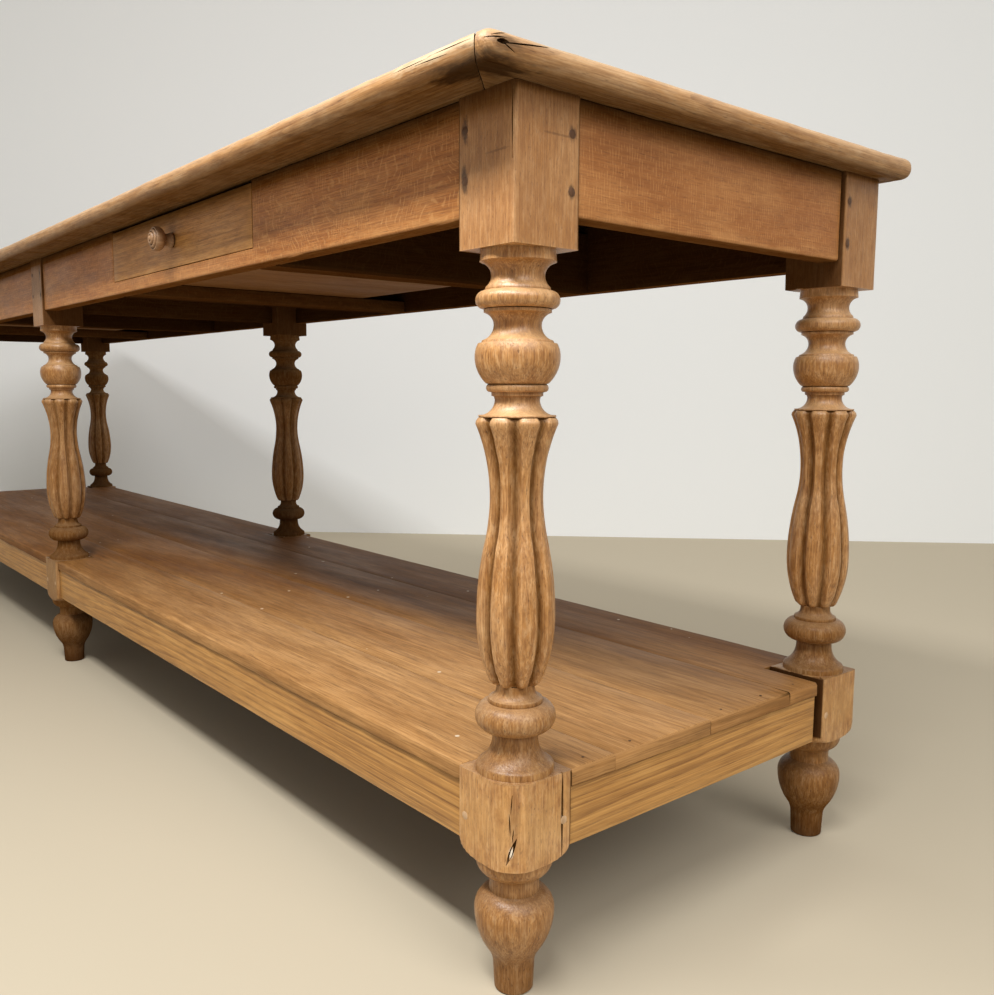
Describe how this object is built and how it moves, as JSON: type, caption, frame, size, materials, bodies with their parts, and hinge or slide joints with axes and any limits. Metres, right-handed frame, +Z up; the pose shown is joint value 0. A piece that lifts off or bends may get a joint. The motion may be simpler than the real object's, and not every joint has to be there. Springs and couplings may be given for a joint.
{
  "type": "drapers table",
  "caption": "Long oak drapers table with fluted turned legs, a mitred bullnosed top, a drawer in each bay and a low boarded shelf near the floor.",
  "frame": {"origin": "on the floor below the middle of the top", "axes": "+Z up, +X along the length, drawers open towards -Y"},
  "size_m": [2.89, 0.644, 0.823],
  "materials": {
    "leg_oak": "stripped, dry wax",
    "top_oak": "stripped, dry wax",
    "rail_oak": "stripped, dry wax",
    "shelf_oak": "stripped, dry wax",
    "drawer_oak": "stripped, dry wax",
    "pale_wood": "stripped, dry wax",
    "knob_wood": "stripped, dry wax",
    "nail_iron": "dark iron"
  },
  "bodies": {
    "table": {"back_rail_left": "rail_oak", "back_rail_right": "rail_oak", "drawer_bearer_left_bay_left": "rail_oak", "drawer_bearer_left_bay_right": "rail_oak", "drawer_bearer_right_bay_left": "rail_oak", "drawer_bearer_right_bay_right": "rail_oak", "drawer_runner_left_bay_left": "pale_wood", "drawer_runner_left_bay_right": "pale_wood", "drawer_runner_right_bay_left": "pale_wood", "drawer_runner_right_bay_right": "pale_wood", "end_rail_left": "rail_oak", "end_rail_right": "rail_oak", "front_rail_left": "rail_oak", "front_rail_right": "rail_oak", "glue_blocks": "rail_oak", "leg_back_left": "leg_oak", "leg_back_middle": "leg_oak", "leg_back_right": "leg_oak", "leg_front_left": "leg_oak", "leg_front_middle": "leg_oak", "leg_front_right": "leg_oak", "middle_rail": "rail_oak", "shelf_back_rail_left": "rail_oak", "shelf_back_rail_right": "rail_oak", "shelf_board_1": "shelf_oak", "shelf_board_2": "shelf_oak", "shelf_board_3": "shelf_oak", "shelf_board_4": "shelf_oak", "shelf_end_rail_left": "rail_oak", "shelf_end_rail_right": "rail_oak", "shelf_front_rail_left": "rail_oak", "shelf_front_rail_right": "rail_oak", "shelf_middle_rail": "rail_oak", "shelf_nails": "nail_iron", "shelf_rail_pegs": "rail_oak", "top_back_board": "top_oak", "top_cleat_left": "top_oak", "top_cleat_right": "top_oak", "top_front_board": "top_oak", "top_inner_board_1": "top_oak", "top_inner_board_2": "top_oak", "top_inner_board_3": "top_oak", "upper_rail_pegs": "rail_oak"},
    "drawer_right": {"drawer_right_back": "drawer_oak", "drawer_right_bottom": "pale_wood", "drawer_right_front": "drawer_oak", "drawer_right_knob": "knob_wood", "drawer_right_side_left": "drawer_oak", "drawer_right_side_right": "drawer_oak"},
    "drawer_left": {"drawer_left_back": "drawer_oak", "drawer_left_bottom": "pale_wood", "drawer_left_front": "drawer_oak", "drawer_left_knob": "knob_wood", "drawer_left_side_left": "drawer_oak", "drawer_left_side_right": "drawer_oak"}
  },
  "joints": [
    {"name": "drawer_right_slide", "type": "slide", "parent": "table", "child": "drawer_right", "axis": [0, -1, 0], "range_m": [0, 0.33]},
    {"name": "drawer_left_slide", "type": "slide", "parent": "table", "child": "drawer_left", "axis": [0, -1, 0], "range_m": [0, 0.33]}
  ]
}
